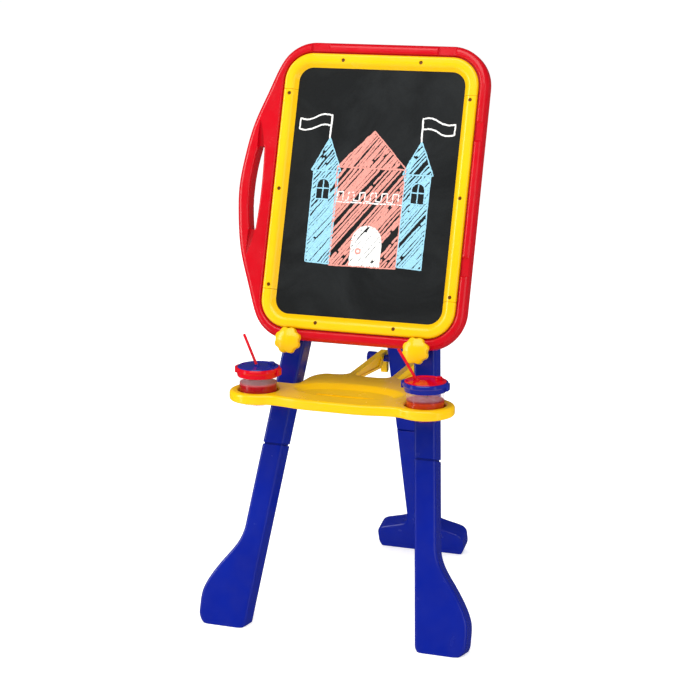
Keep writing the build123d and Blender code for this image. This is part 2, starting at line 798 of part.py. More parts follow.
def tray():
    thick = tray_top - tray_under
    dish_middle = front_line + 108.0
    dish_half = (104.0, 47.0)
    dish_floor = tray_top - 7.0
    floor_half = (84.0, 32.0)
    hollow_middle = front_line + 125.0
    cups = [(-cup_across, cup_forward), (cup_across, cup_forward)]
    with BuildPart() as part:
        with BuildSketch(Plane.XY.offset(tray_under)):
            with BuildLine():
                draw_tray_half(1)
                draw_tray_half(-1)
            make_face()
        extrude(amount=thick)
        fillet(part.faces().sort_by(Axis.Z)[-1].edges(), 6)
        fillet(part.faces().sort_by(Axis.Z)[0].edges(), 4)
        with BuildSketch(Plane.XY.offset(dish_floor)):
            with Locations((0, dish_middle)):
                Ellipse(*floor_half)
        with BuildSketch(Plane.XY.offset(tray_top)):
            with Locations((0, dish_middle)):
                Ellipse(*dish_half)
        loft(mode=Mode.SUBTRACT)
        dish_rim = part.faces().filter_by(Plane.XY).sort_by(Axis.Z)[-1].inner_wires()
        fillet(dish_rim[0].edges(), 14)
        with BuildSketch(Plane.XY.offset(dish_floor - 1.6)):
            with Locations((0, dish_middle - 17)):
                SlotOverall(112, 11)
        extrude(amount=10, mode=Mode.SUBTRACT)
        with BuildSketch(Plane.XY.offset(tray_under)):
            with Locations((0, hollow_middle)):
                RectangleRounded(180, 162, 24)
        extrude(amount=6, mode=Mode.SUBTRACT)
        with BuildSketch(Plane.XY.offset(cup_seat)):
            with Locations(*cups):
                Circle(cup_radius + 1.0)
        extrude(amount=20, mode=Mode.SUBTRACT)
        with BuildSketch(Plane.XY.offset(tray_under - 1)):
            with Locations(*cups):
                Circle(cup_neck + 0.5)
        extrude(amount=30, mode=Mode.SUBTRACT)
        lip = part.edges().filter_by(GeomType.CIRCLE).filter_by(
            lambda edge: abs(edge.radius - cup_radius - 1.0) < 0.01 and edge.center().Z > cup_seat + 1
        )
        fillet(lip, 4)
        for side in (-1, 1):
            middle = side * (arm_near + arm_far) / 2
            with BuildSketch(Plane.YZ.offset(middle - (arm_far - arm_near) / 2)):
                with BuildLine():
                    draw_arm_profile()
                make_face()
            extrude(amount=arm_far - arm_near)
            for face_x, inward in ((middle - 6, 1), (middle + 6, -1)):
                with BuildSketch(Plane.YZ.offset(face_x)):
                    pocket = Polygon(
                        (front_line + 246, 419.3),
                        (front_line + 370, 412.5),
                        (front_line + 385, 429.0),
                        (front_line + 246, 424.8),
                        align=None,
                    )
                    fillet(pocket.vertices(), 2.5)
                extrude(amount=inward * 2.2, mode=Mode.SUBTRACT)
            ear = cross_plane(pivot_point, side * 100)
            with BuildSketch(ear):
                Circle(10)
                with BuildLine():
                    Polyline((-10, 0), (10, 0), (16, tray_under + 4 - pivot_point.Z),
                             (-12, tray_under + 4 - pivot_point.Z), close=True)
                make_face()
            extrude(amount=side * 8)
            with BuildSketch(ear):
                Circle(pivot_radius + bore_gap)
            extrude(amount=side * 20, mode=Mode.SUBTRACT)
    return part


def tray_pivot_pins():
    with BuildPart() as pins:
        for side in (-1, 1):
            with BuildSketch(cross_plane(pivot_point, side * 97)):
                Circle(pivot_radius)
            extrude(amount=side * 32)
            with BuildSketch(cross_plane(pivot_point, side * 97)):
                Circle(pivot_radius + 2.5)
            extrude(amount=side * 2.6)
    return pins


# ------------------------------------------------------------------ paint cups
paint_levels = {"left": 444.0, "right": 439.0}
brush_lines = {                      # tip end and top end of each brush, in X and Z
    "left": ((-147.3, 446.0), (-183.3, 529.0)),
    "right": ((160.1, 442.0), (106.6, 526.0)),
}
lid_top = 473.5


def cup_axis(side):
    return Plane(origin=(side * cup_across, cup_forward, 0), x_dir=(1, 0, 0), z_dir=(0, -1, 0))


def turned(side, points):
    """Closed outline of (radius, height) points turned about a cup's upright axis."""
    with BuildPart() as solid:
        with BuildSketch(cup_axis(side)):
            with BuildLine():
                Polyline(*points, close=True)
            make_face()
        revolve(axis=Axis((side * cup_across, cup_forward, 0), (0, 0, 1)))
    return solid.part


def cup_body(side):
    shoulder = cup_seat + 2.0
    beaker = turned(side, [
        (0, cup_bottom),
        (cup_neck - 3, cup_bottom),
        (cup_neck, cup_bottom + 3),
        (cup_neck, cup_seat),
        (cup_radius, cup_seat),
        (cup_radius, cup_rim),
        (cup_radius - cup_wall, cup_rim),
        (cup_radius - cup_wall, shoulder),
        (cup_neck - cup_wall, shoulder),
        (cup_neck - cup_wall, cup_bottom + 3.2),
        (cup_neck - cup_wall - 1.8, cup_bottom + 2),
        (0, cup_bottom + 2),
    ])
    with BuildPart() as cup:
        add(beaker)
    return cup


def paint(side, level):
    slack = 0.05
    shoulder = cup_seat + 2.0 + slack
    pool = turned(side, [
        (0, cup_bottom + 2 + slack),
        (cup_neck - cup_wall - 2, cup_bottom + 2 + slack),
        (cup_neck - cup_wall - slack, cup_bottom + 3.4),
        (cup_neck - cup_wall - slack, shoulder),
        (cup_radius - cup_wall - slack, shoulder),
        (cup_radius - cup_wall - slack, level),
        (0, level),
    ])
    with BuildPart() as fill:
        add(pool)
    return fill


collar_low = 458.0
collar_top = 472.0
collar_radius = 40.0


def cup_collar(side):
    """Snap-on collar: a ring round the rim with a skirt that dips at the front and back, and side tabs."""
    inner = cup_radius + 0.05
    band = turned(side, [
        (inner, collar_low - 2),
        (collar_radius - 3, collar_low - 2),
        (collar_radius - 1.5, collar_low + 6),
        (collar_radius, collar_low + 8),
        (collar_radius, collar_top - 1.5),
        (collar_radius - 1.5, collar_top),
        (collar_radius - 3.2, collar_top),
        (collar_radius - 3.2, cup_rim + 0.1),
        (inner, cup_rim + 0.1),
    ])
    with BuildPart() as collar:
        add(band)
        with BuildSketch(Plane.XZ.offset(-cup_forward)):
            with Locations((side * cup_across, 0)):
                with BuildLine():
                    Spline(
                        (-60, collar_low + 9),
                        (-34, collar_low + 8),
                        (-23, collar_low + 4.2),
                        (0, collar_low - 0.5),
                        (23, collar_low + 4.2),
                        (34, collar_low + 8),
                        (60, collar_low + 9),
                    )
                    Polyline((60, collar_low + 9), (60, collar_low - 20), (-60, collar_low - 20),
                             (-60, collar_low + 9))
                make_face()
        extrude(amount=60, both=True, mode=Mode.SUBTRACT)
        for tab in (-1, 1):
            with BuildSketch(Plane.XY.offset(collar_low + 1)):
                with Locations((side * cup_across + tab * 39.8, cup_forward)):
                    RectangleRounded(5.4, 16, 2)
            extrude(amount=collar_top - collar_low - 2.5)
        with BuildSketch(Plane.XY.offset(collar_low - 5)):
            with Locations((side * cup_across, cup_forward)):
                Circle(inner)
        extrude(amount=cup_rim + 0.1 - collar_low + 5, mode=Mode.SUBTRACT)
    return collar


stopper_spot = (20.0, 14.0)          # stopper parking hole, from the lid's centre


def brush_frame(name):
    """Plane at the brush's tip end whose z direction runs up the brush."""
    low, high = brush_lines[name]
    along = Vector(high[0] - low[0], 0, high[1] - low[1]).normalized()
    return Plane(origin=(low[0], cup_forward, low[1]), x_dir=(0, 1, 0), z_dir=along)


def brush_length(name):
    low, high = brush_lines[name]
    return math.dist(low, high)


def cup_lid(name):
    side = sides[name]
    seat = cup_rim + 0.15
    rim = collar_radius - 3.4
    plug_outer = cup_radius - cup_wall - 0.4
    plug_inner = plug_outer - 1.8
    disc = turned(side, [
        (0, seat + 0.6),
        (20, seat),
        (plug_inner, seat),
        (plug_inner, seat - 5),
        (plug_outer, seat - 5),
        (plug_outer, seat),
        (rim, seat),
        (rim, lid_top - 1),
        (rim - 1, lid_top),
        (rim - 3.5, lid_top),
        (rim - 5, lid_top - 1.2),
        (22, lid_top - 0.6),
        (0, lid_top + 0.6),
    ])
    with BuildPart() as lid:
        add(disc)
        parking = (side * cup_across + stopper_spot[0], cup_forward + stopper_spot[1])
        with BuildSketch(Plane.XY.offset(lid_top - 2)):
            with Locations(parking):
                Circle(6.5)
        extrude(amount=4.5)
        with BuildSketch(Plane.XY.offset(seat + 1)):
            with Locations(parking):
                Circle(4.4)
        extrude(amount=20, mode=Mode.SUBTRACT)
        with BuildSketch(brush_frame(name)):
            Circle(6)
        extrude(amount=(lid_top + 2 - brush_lines[name][0][1]) / brush_frame(name).z_dir.Z)
        with BuildSketch(Plane.XY.offset(brush_lines[name][0][1] - 10)):
            with Locations((side * cup_across, cup_forward)):
                Rectangle(120, 90)
        extrude(amount=seat - brush_lines[name][0][1] + 10 - 5, mode=Mode.SUBTRACT)
        with BuildSketch(brush_frame(name)):
            Circle(3.2)
        extrude(amount=100, mode=Mode.SUBTRACT)
    return lid


def cup_stopper(side):
    parking = (side * cup_across + stopper_spot[0], cup_forward + stopper_spot[1])
    seat = cup_rim + 1.2
    with BuildPart() as stopper:
        with BuildSketch(Plane.XY.offset(seat)):
            with Locations(parking):
                Circle(4.1)
        extrude(amount=lid_top + 2.7 - seat)
        with BuildSketch(Plane.XY.offset(lid_top + 2.7)):
            with Locations(parking):
                Circle(6.0)
        extrude(amount=2.4)
        fillet(stopper.faces().sort_by(Axis.Z)[-1].edges(), 1)
    return stopper


ferrule_length = 13.0
bristle_length = 12.0


def brush_handle(name):
    length = brush_length(name)
    with BuildPart() as handle:
        with BuildSketch(brush_frame(name).offset(bristle_length + ferrule_length)):
            Circle(2.5)
        extrude(amount=length - bristle_length - ferrule_length)
        fillet(handle.faces().sort_by(Axis.Z)[-1].edges(), 1.8)
    return handle


def brush_ferrule(name):
    with BuildPart() as ferrule:
        with BuildSketch(brush_frame(name).offset(bristle_length)):
            Circle(2.7)
        extrude(amount=ferrule_length)
    return ferrule


def brush_bristles(name):
    with BuildPart() as bristles:
        with BuildSketch(brush_frame(name)):
            Circle(0.8)
        with BuildSketch(brush_frame(name).offset(bristle_length * 0.5)):
            Circle(2.9)
        with BuildSketch(brush_frame(name).offset(bristle_length)):
            Circle(2.6)
        loft()
    return bristles


# ------------------------------------------------------------------ write every piece
for name, side in sides.items():
    finish(upper_leg(side), f"upper_leg_{name}")
    finish(lower_leg(side), f"lower_leg_{name}")
    finish(knob(side), f"knob_{name}")
    finish(knob_bolt(side), f"knob_bolt_{name}")
    finish(cup_body(side), f"cup_body_{name}")
    finish(cup_collar(side), f"cup_collar_{name}")
    finish(cup_lid(name), f"cup_lid_{name}")
    finish(cup_stopper(side), f"cup_stopper_{name}")
    finish(paint(side, paint_levels[name]), f"paint_{name}")
    finish(brush_handle(name), f"brush_handle_{name}")
    finish(brush_ferrule(name), f"brush_ferrule_{name}")
    finish(brush_bristles(name), f"brush_bristles_{name}")

finish(hinge_yoke(), "hinge_yoke")
finish(yoke_screws(), "yoke_screws")
finish(hinge_pin(), "hinge_pin")
finish(knob_nuts(), "knob_nuts")
finish(rear_leg_upper(), "rear_leg_upper")
finish(rear_leg_lower(), "rear_leg_lower")
finish(brace_bar(), "brace_bar")
finish(brace_caps(), "brace_caps")
finish(tray(), "tray")
finish(tray_pivot_pins(), "tray_pivot_pins")

shell = board_shell()
bezels = bezel_pieces()
screws = bezel_screws()
chalk_panel = panel(panel_half, panel_corner, core_half, core_half + panel_sheet)
core_panel = panel(
    (panel_half[0] - 6.2, panel_half[1] - 6.2), panel_corner - 6.2, -core_half, core_half
)
place_on_board(shell, "board_frame_front")
place_on_board(shell, "board_frame_back", flip=True)
place_on_board(chalk_panel, "chalkboard")
place_on_board(chalk_panel, "whiteboard", flip=True)
place_on_board(core_panel, "board_core")
place_on_board(screws, "bezel_screws_front")
place_on_board(screws, "bezel_screws_back", flip=True)
for edge, piece in bezels.items():
    place_on_board(piece, f"bezel_front_{edge}")
    place_on_board(piece, f"bezel_back_{edge}", flip=True)
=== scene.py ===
"""Studio scene of the child's easel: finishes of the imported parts, chalk drawing, brush tufts, light, camera.

Metres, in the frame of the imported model. Lengths of the drawing are given in millimetres on the board.
"""

import json
import math
import random

import bmesh
import bpy
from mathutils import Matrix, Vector


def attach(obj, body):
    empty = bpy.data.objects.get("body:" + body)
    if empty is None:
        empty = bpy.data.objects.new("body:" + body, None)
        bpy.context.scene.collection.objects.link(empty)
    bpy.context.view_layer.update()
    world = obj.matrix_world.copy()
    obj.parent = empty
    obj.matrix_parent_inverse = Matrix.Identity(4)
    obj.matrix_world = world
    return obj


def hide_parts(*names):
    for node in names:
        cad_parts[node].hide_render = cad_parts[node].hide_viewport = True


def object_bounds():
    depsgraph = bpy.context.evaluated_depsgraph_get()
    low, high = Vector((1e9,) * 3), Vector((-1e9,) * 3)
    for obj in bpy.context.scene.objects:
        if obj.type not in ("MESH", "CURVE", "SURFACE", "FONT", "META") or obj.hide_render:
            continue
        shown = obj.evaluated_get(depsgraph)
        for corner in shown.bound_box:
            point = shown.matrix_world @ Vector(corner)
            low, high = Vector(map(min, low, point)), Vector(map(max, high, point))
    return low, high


MM = 0.001
PAINT_LINE = 0.4425      # height of the paint in the cups, about
SPLASH = 0.002           # soft edge of the splashed film above it
FIBRES = 150             # bristles in each brush
FIBRE_HALF = 0.196 * MM  # half a bristle's thickness at its root
GOLDEN_ANGLE = math.pi * (3.0 - math.sqrt(5.0))
FLOOR_GLOW = 0.44        # keeps the floor white out to its edge
SKY_LIGHT = 0.7          # what the white surroundings give the easel
SKY_SEEN = 1.0           # and what the camera
SKY_MIRRORED = 0.06      # and a shiny surface see of them

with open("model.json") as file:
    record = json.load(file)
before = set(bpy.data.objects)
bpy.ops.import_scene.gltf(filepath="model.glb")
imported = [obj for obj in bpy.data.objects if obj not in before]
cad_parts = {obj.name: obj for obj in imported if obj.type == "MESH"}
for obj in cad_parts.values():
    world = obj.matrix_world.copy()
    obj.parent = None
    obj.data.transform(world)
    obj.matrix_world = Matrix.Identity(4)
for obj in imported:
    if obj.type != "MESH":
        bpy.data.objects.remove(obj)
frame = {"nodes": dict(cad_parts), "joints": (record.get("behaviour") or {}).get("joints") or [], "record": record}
nodes = frame["nodes"]
cad_low, cad_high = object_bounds()
axes = {j["name"]: Vector(j["axis"]).normalized() for j in frame["joints"]}

# ------------------------------------------------------------------ shader helpers


class Shader:
    """One node material: a Principled shader and short calls for the nodes that feed it."""

    def __init__(self, name):
        self.material = bpy.data.materials.new(name)
        self.material.use_nodes = True
        self.tree = self.material.node_tree
        self.surface = self.tree.nodes["Principled BSDF"]
        self.place = self.tree.nodes.new("ShaderNodeTexCoord").outputs["Object"]

    def set(self, **values):
        """Constant values on the shader's own sockets; underscores stand for spaces."""
        for key, value in values.items():
            self.surface.inputs[key.replace("_", " ")].default_value = value

    def link(self, source, socket):
        self.tree.links.new(source, self.surface.inputs[socket])

    def stretch(self, scale):
        """The object coordinates, scaled along each axis."""
        node = self.tree.nodes.new("ShaderNodeMapping")
        node.inputs["Scale"].default_value = scale
        self.tree.links.new(self.place, node.inputs["Vector"])
        return node.outputs["Vector"]

    def noise(self, scale, detail=3.0, rough=0.5, along=None, warp=0.0):
        node = self.tree.nodes.new("ShaderNodeTexNoise")
        node.inputs["Scale"].default_value = scale
        node.inputs["Detail"].default_value = detail
        node.inputs["Roughness"].default_value = rough
        node.inputs["Distortion"].default_value = warp
        self.tree.links.new(along or self.place, node.inputs["Vector"])
        return node.outputs["Fac"]

    def height(self):
        """The height above the floor, at rest."""
        node = self.tree.nodes.new("ShaderNodeSeparateXYZ")
        self.tree.links.new(self.place, node.inputs["Vector"])
        return node.outputs["Z"]

    def span(self, source, low, high, to_low, to_high):
        """Map a value from one range to another, held at its ends."""
        node = self.tree.nodes.new("ShaderNodeMapRange")
        for key, value in zip(("From Min", "From Max", "To Min", "To Max"), (low, high, to_low, to_high)):
            node.inputs[key].default_value = value
        self.tree.links.new(source, node.inputs["Value"])
        return node.outputs["Result"]

    def mix(self, factor, first, second):
        """Mix two colours; each is a colour or another node's output."""
        node = self.tree.nodes.new("ShaderNodeMix")
        node.data_type = "RGBA"
        self.tree.links.new(factor, node.inputs["Factor"])
        for key, value in (("A", first), ("B", second)):
            socket = next(s for s in node.inputs if s.name == key and s.type == "RGBA")
            if isinstance(value, bpy.types.NodeSocket):
                self.tree.links.new(value, socket)
            else:
                socket.default_value = (*value, 1.0)
        return next(s for s in node.outputs if s.type == "RGBA")

    def bump(self, height, strength, distance, under=None):
        node = self.tree.nodes.new("ShaderNodeBump")
        node.inputs["Strength"].default_value = strength
        node.inputs["Distance"].default_value = distance
        self.tree.links.new(height, node.inputs["Height"])
        if under is not None:
            self.tree.links.new(under, node.inputs["Normal"])
        return node.outputs["Normal"]


def moulded(name, colour, deep, pale, gloss=(0.16, 0.3)):
    """Injection-moulded plastic: soft flow marks, orange-peel skin, fine handling scratches."""
    s = Shader(name)
    flow = s.noise(7.0, 4.0, 0.55, warp=0.6)
    body = s.mix(s.span(flow, 0.3, 0.7, 0.0, 1.0), deep, colour)
    hairline = s.noise(26.0, 5.0, 0.62, s.stretch((1.0, 1.0, 26.0)))
    scuffs = s.span(hairline, 0.68, 0.76, 0.0, 0.22)
    s.link(s.mix(scuffs, body, pale), "Base Color")
    s.link(s.span(s.noise(34.0, 6.0, 0.6), 0.3, 0.75, *gloss), "Roughness")
    skin = s.bump(s.noise(420.0, 2.0), 0.05, 0.0006)
    s.link(s.bump(flow, 0.12, 0.003, skin), "Normal")
    s.set(Specular_IOR_Level=0.42, Coat_Weight=0.05, Coat_Roughness=0.08)
    return s.material


def slate(name, colour, dust):
    """Matt blackboard paint with wiped chalk haze and a fine tooth."""
    s = Shader(name)
    wiped = s.noise(5.0, 6.0, 0.65, s.stretch((1.0, 2.2, 0.8)), 1.4)
    tooth = s.noise(900.0, 2.0)
    haze = s.mix(s.span(wiped, 0.42, 0.8, 0.0, 0.55), colour, dust)
    s.link(s.mix(s.span(tooth, 0.3, 0.8, 0.0, 0.25), haze, dust), "Base Color")
    s.link(s.span(wiped, 0.3, 0.7, 0.5, 0.66), "Roughness")
    s.link(s.bump(tooth, 0.25, 0.0004), "Normal")
    s.set(Specular_IOR_Level=0.16)
    return s.material


def chalk(name, colour, board_colour):
    """Dry chalk: the stroke breaks up where the board's tooth shows through."""
    s = Shader(name)
    grain = s.noise(760.0, 4.0, 0.7)
    drag = s.noise(90.0, 3.0, 0.6, s.stretch((1.0, 0.6, 0.6)))
    body = s.mix(s.span(drag, 0.58, 0.7, 0.0, 0.4), colour, tuple(0.72 * c for c in colour))
    s.link(s.mix(s.span(grain, 0.56, 0.66, 0.0, 0.75), body, board_colour), "Base Color")
    s.link(s.span(grain, 0.3, 0.7, 0.86, 1.0), "Roughness")
    s.link(s.bump(grain, 0.5, 0.0006), "Normal")
    s.set(Specular_IOR_Level=0.1)
    return s.material


def metal(name, colour, dull, along, rough=(0.22, 0.42), bare=1.0):
    """Drawn or plated metal with fine lines along one axis; the screws' brown tint is painted shade from the
    yellow holes around their heads.
    """
    s = Shader(name)
    lines = s.noise(60.0, 4.0, 0.6, s.stretch(along))
    s.link(s.mix(s.span(lines, 0.3, 0.7, 0.0, 1.0), colour, dull), "Base Color")
    s.link(s.span(lines, 0.3, 0.7, *rough), "Roughness")
    s.link(s.bump(lines, 0.12, 0.0003), "Normal")
    s.set(Metallic=bare)
    return s.material


def clear(name):
    """Thin clear cup plastic with tiny moulding ripples, and a film of pink splashes above the paint."""
    s = Shader(name)
    ripple = s.noise(60.0, 3.0)
    film = s.mix(s.span(ripple, 0.35, 0.7, 0.0, 1.0), (0.95, 0.62, 0.66), (0.86, 0.5, 0.55))
    above = s.span(s.height(), PAINT_LINE - SPLASH, PAINT_LINE + SPLASH, 0.0, 1.0)
    s.link(s.mix(above, (0.3, 0.02, 0.02), film), "Base Color")
    s.link(s.span(ripple, 0.3, 0.7, 0.06, 0.16), "Roughness")
    s.link(s.bump(ripple, 0.08, 0.0008), "Normal")
    s.set(Alpha=0.13, IOR=1.5, Specular_IOR_Level=1.0, Coat_Weight=1.0, Coat_Roughness=0.04)
    return s.material


def liquid(name, colour, deep):
    """Thick poster paint: wet, with slow swirls where the colour has settled."""
    s = Shader(name)
    swirl = s.noise(38.0, 4.0, 0.6, warp=2.5)
    s.link(s.mix(s.span(swirl, 0.35, 0.65, 0.0, 1.0), colour, deep), "Base Color")
    s.link(s.span(swirl, 0.3, 0.7, 0.12, 0.26), "Roughness")
    s.link(s.bump(swirl, 0.25, 0.0012), "Normal")
    s.set(Specular_IOR_Level=0.3, Coat_Weight=0.1, Coat_Roughness=0.05)
    return s.material


def fibre(name, colour, deep, along):
    """Streaked fibres: bristles or the board's pressed core."""
    s = Shader(name)
    strand = s.noise(160.0, 5.0, 0.7, s.stretch(along))
    s.link(s.mix(s.span(strand, 0.35, 0.65, 0.0, 1.0), colour, deep), "Base Color")
    s.link(s.span(strand, 0.3, 0.7, 0.55, 0.85), "Roughness")
    s.link(s.bump(strand, 0.4, 0.0005), "Normal")
    s.set(Specular_IOR_Level=0.25)
    return s.material


BOARD_BLACK = (0.004, 0.005, 0.0055)
finishes = {
    "yellow_plastic": moulded("yellow_moulded", (0.9, 0.53, 0.0), (0.87, 0.49, 0.0), (0.92, 0.6, 0.02)),
    "red_plastic": moulded("red_moulded", (0.58, 0.0, 0.008), (0.5, 0.0, 0.006), (0.66, 0.012, 0.02)),
    "blue_plastic": moulded("blue_moulded", (0.001, 0.012, 0.27), (0.001, 0.009, 0.23), (0.005, 0.02, 0.32)),
    "zinc_steel": metal("zinc_plate", (0.62, 0.63, 0.66), (0.42, 0.43, 0.45), (8.0, 1.0, 1.0)),
    # The screw heads' brown stands for the shaded yellow of the holes they sit in: painted shade over dark steel.
    "black_screws": metal("screw_steel_painted_hole_shade", (0.3, 0.12, 0.02), (0.16, 0.06, 0.012), (1.0, 9.0, 1.0), bare=0.3),
    "chalkboard_slate": slate("blackboard_paint", BOARD_BLACK, (0.032, 0.036, 0.038)),
    "white_drawing_board": moulded(
        "white_board", (0.86, 0.87, 0.88), (0.82, 0.83, 0.85), (0.72, 0.75, 0.8), (0.08, 0.2)
    ),
    "fibreboard_core": fibre("pressed_fibre", (0.4, 0.26, 0.14), (0.26, 0.16, 0.08), (1.0, 5.0, 1.0)),
    "clear_plastic": clear("cup_clear"),
    "cup_red": moulded(
        "cup_red_moulded", (0.66, 0.001, 0.012), (0.58, 0.0, 0.008), (0.85, 0.08, 0.09), (0.1, 0.22)
    ),
    "cup_blue": moulded(
        "cup_blue_moulded", (0.012, 0.02, 0.27), (0.008, 0.014, 0.22), (0.08, 0.1, 0.42), (0.1, 0.22)
    ),
    "red_paint": liquid("paint_red_wet", (0.56, 0.0, 0.01), (0.44, 0.0, 0.006)),
    "orange_paint": liquid("paint_orange_wet", (0.78, 0.08, 0.004), (0.66, 0.04, 0.003)),
    "brush_red": moulded(
        "brush_red_moulded", (0.75, 0.006, 0.02), (0.62, 0.0, 0.01), (0.9, 0.15, 0.15), (0.12, 0.24)
    ),
    "ferrule_metal": metal("ferrule_tin", (0.8, 0.8, 0.8), (0.6, 0.6, 0.62), (1.0, 1.0, 12.0), (0.16, 0.3)),
    "bristle": fibre("dyed_bristle", (0.3, 0.02, 0.02), (0.13, 0.006, 0.008), (5.0, 5.0, 1.0)),
}

slot_of = {part["node"]: part["material_slot"] for part in frame["record"]["subparts"]}
for name, node in nodes.items():
    node.data.materials.clear()
    node.data.materials.append(finishes[slot_of[name]])

# ------------------------------------------------------------------ the board's own frame
rise = axes["board_lift"]
face = Vector((0.0, -rise.z, rise.y))
slate_points = [v.co for v in nodes["chalkboard"].data.vertices]
slate_front = max(p.dot(face) for p in slate_points)
slate_low = min(p.dot(rise) for p in slate_points)
slate_high = max(p.dot(rise) for p in slate_points)
board_centre = face * slate_front + rise * (slate_low + slate_high) / 2


def on_board(across, up, out):
    """A point on the blackboard, millimetres across and up from its centre and out from its face."""
    return board_centre + Vector((across * MM, 0.0, 0.0)) + rise * (up * MM) + face * (out * MM)


# ------------------------------------------------------------------ chalk drawing
chance = random.Random(11)
STROKE_STEP = 2.2        # length of one uneven bit of a stroke
BURIED = -0.05           # the underside of each stroke lies just inside the board's face


def stroke_points(path):
    """Even points along a path of straight runs."""
    points = [Vector(path[0])]
    for start, end in zip(path, path[1:]):
        a, b = Vector(start), Vector(end)
        count = max(1, round((b - a).length / STROKE_STEP))
        points += [a.lerp(b, (i + 1) / count) for i in range(count)]
    return points


def add_stroke(bm, path, width, wobble=0.5, height=0.3):
    """One chalk stroke: a low crowned ribbon with an uneven edge."""
    points = stroke_points(path)
    ring = None
    drift = 0.0
    for i, p in enumerate(points):
        ahead = (points[min(i + 1, len(points) - 1)] - points[max(i - 1, 0)]).normalized()
        side = Vector((-ahead.y, ahead.x))
        drift = 0.8 * drift + chance.uniform(-wobble, wobble) * 0.5
        end = 0.55 if i in (0, len(points) - 1) else 1.0
        left = width / 2 * end * chance.uniform(0.78, 1.15)
        right = width / 2 * end * chance.uniform(0.78, 1.15)
        tall = height * chance.uniform(0.7, 1.1)
        section = (
            (left, BURIED),
            (left * 0.9, tall * 0.6),
            (0.0, tall),
            (-right * 0.9, tall * 0.6),
            (-right, BURIED),
        )
        new = []
        for across, out in section:
            spot = p + side * (drift + across)
            new.append(bm.verts.new(on_board(spot.x, spot.y, out)))
        if ring:
            for k in range(len(section)):
                n = (k + 1) % len(section)
                bm.faces.new((ring[k], ring[n], new[n], new[k]))
        else:
            bm.faces.new(reversed(new))
        ring = new
    bm.faces.new(ring)


def crossings(shapes, angle, offset):
    """Where a slanted line meets the closed shapes, as sorted distances along it (inside between pairs)."""
    c, s = math.cos(angle), math.sin(angle)
    found = []
    for shape in shapes:
        turned = [(x * c + y * s, y * c - x * s) for x, y in shape]
        for (x0, y0), (x1, y1) in zip(turned, turned[1:] + turned[:1]):
            if (y0 <= offset) != (y1 <= offset):
                found.append(x0 + (offset - y0) * (x1 - x0) / (y1 - y0))
    return sorted(found)


def hatch(bm, shapes, angle, spacing, width, gaps):
    """Fill the outer shape, less the others, with slanted chalk strokes that leave some gaps."""
    c, s = math.cos(angle), math.sin(angle)
    offsets = [y * c - x * s for x, y in shapes[0]]
    offset = min(offsets) + spacing * 0.4
    while offset < max(offsets):
        marks = crossings(shapes, angle, offset)
        for start, end in zip(marks[::2], marks[1::2]):
            if end - start < 3.0 or chance.random() < gaps:
                continue
            start += chance.uniform(-0.8, 1.6)
            end -= chance.uniform(-0.8, 1.6)
            if end - start > 34.0 and chance.random() < 0.14:
                pause = chance.uniform(start + 8.0, end - 12.0)
                runs = ((start, pause), (pause + chance.uniform(2.0, 6.0), end))
            else:
                runs = ((start, end),)
            tilt = chance.uniform(-0.9, 0.9)
            for a, b in runs:
                bow = chance.uniform(-1.1, 1.1)
                run = ((a, -tilt), ((a + b) / 2, bow), (b, tilt))
                path = [(t * c - (offset + d) * s, t * s + (offset + d) * c) for t, d in run]
                add_stroke(bm, path, width * chance.uniform(0.65, 1.15))
        offset += spacing * chance.uniform(0.7, 1.3)


def finish_mesh(bm, name, material, body):
    """Turn a bmesh into a named piece that rides on a body."""
    bmesh.ops.recalc_face_normals(bm, faces=bm.faces)
    mesh = bpy.data.meshes.new(name)
    bm.to_mesh(mesh)
    bm.free()
    mesh.materials.append(material)
    piece = bpy.data.objects.new(name, mesh)
    bpy.context.scene.collection.objects.link(piece)
    for polygon in mesh.polygons:
        polygon.use_smooth = True
    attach(piece, body)
    return piece


def arch(centre, low, high, half):
    """A round-headed outline: up one side, over, and down the other."""
    angles = [math.pi * k / 6 for k in range(7)]
    top = [(centre + half * math.cos(a), high - half + half * math.sin(a)) for a in angles]
    return [(centre + half, low), *top, (centre - half, low)]


slant = math.radians(52)
tower_out = 87           # each tower's middle, out from the middle of the board
tower_top = 38
towers = bmesh.new()
hall = bmesh.new()
lines = bmesh.new()
for side in (-1, 1):
    middle = tower_out * side
    pane = middle + 3 * side
    window = arch(pane, -14, 24, 13)
    walls = [(middle - 23, -128), (middle + 23, -130), (middle + 24, tower_top), (middle - 24, tower_top)]
    roof = [(middle - 29, tower_top), (middle + 28, tower_top), (middle + 1, 98)]
    hatch(towers, [walls, window], slant, 4.4, 4.8, 0.1)
    hatch(towers, [roof], slant, 4.6, 4.4, 0.12)
    for outline in (walls + walls[:1], roof + roof[:1], window + window[:1]):
        add_stroke(towers, outline, 2.6)
    add_stroke(towers, [(pane, -13), (pane, 22)], 2.4)
    add_stroke(towers, [(pane - 12, 6), (pane + 12, 6)], 2.4)
    pole = [(middle, 96), (middle - side, 141)]
    ripple = [(middle + side * t, 139 - t / 8 + 3.5 * math.sin(math.tau * t / 60)) for t in range(0, 61, 6)]
    under = [(x, y - 19) for x, y in reversed(ripple)]
    add_stroke(lines, pole, 3.4)
    add_stroke(lines, ripple + under, 3.1, 0.7)

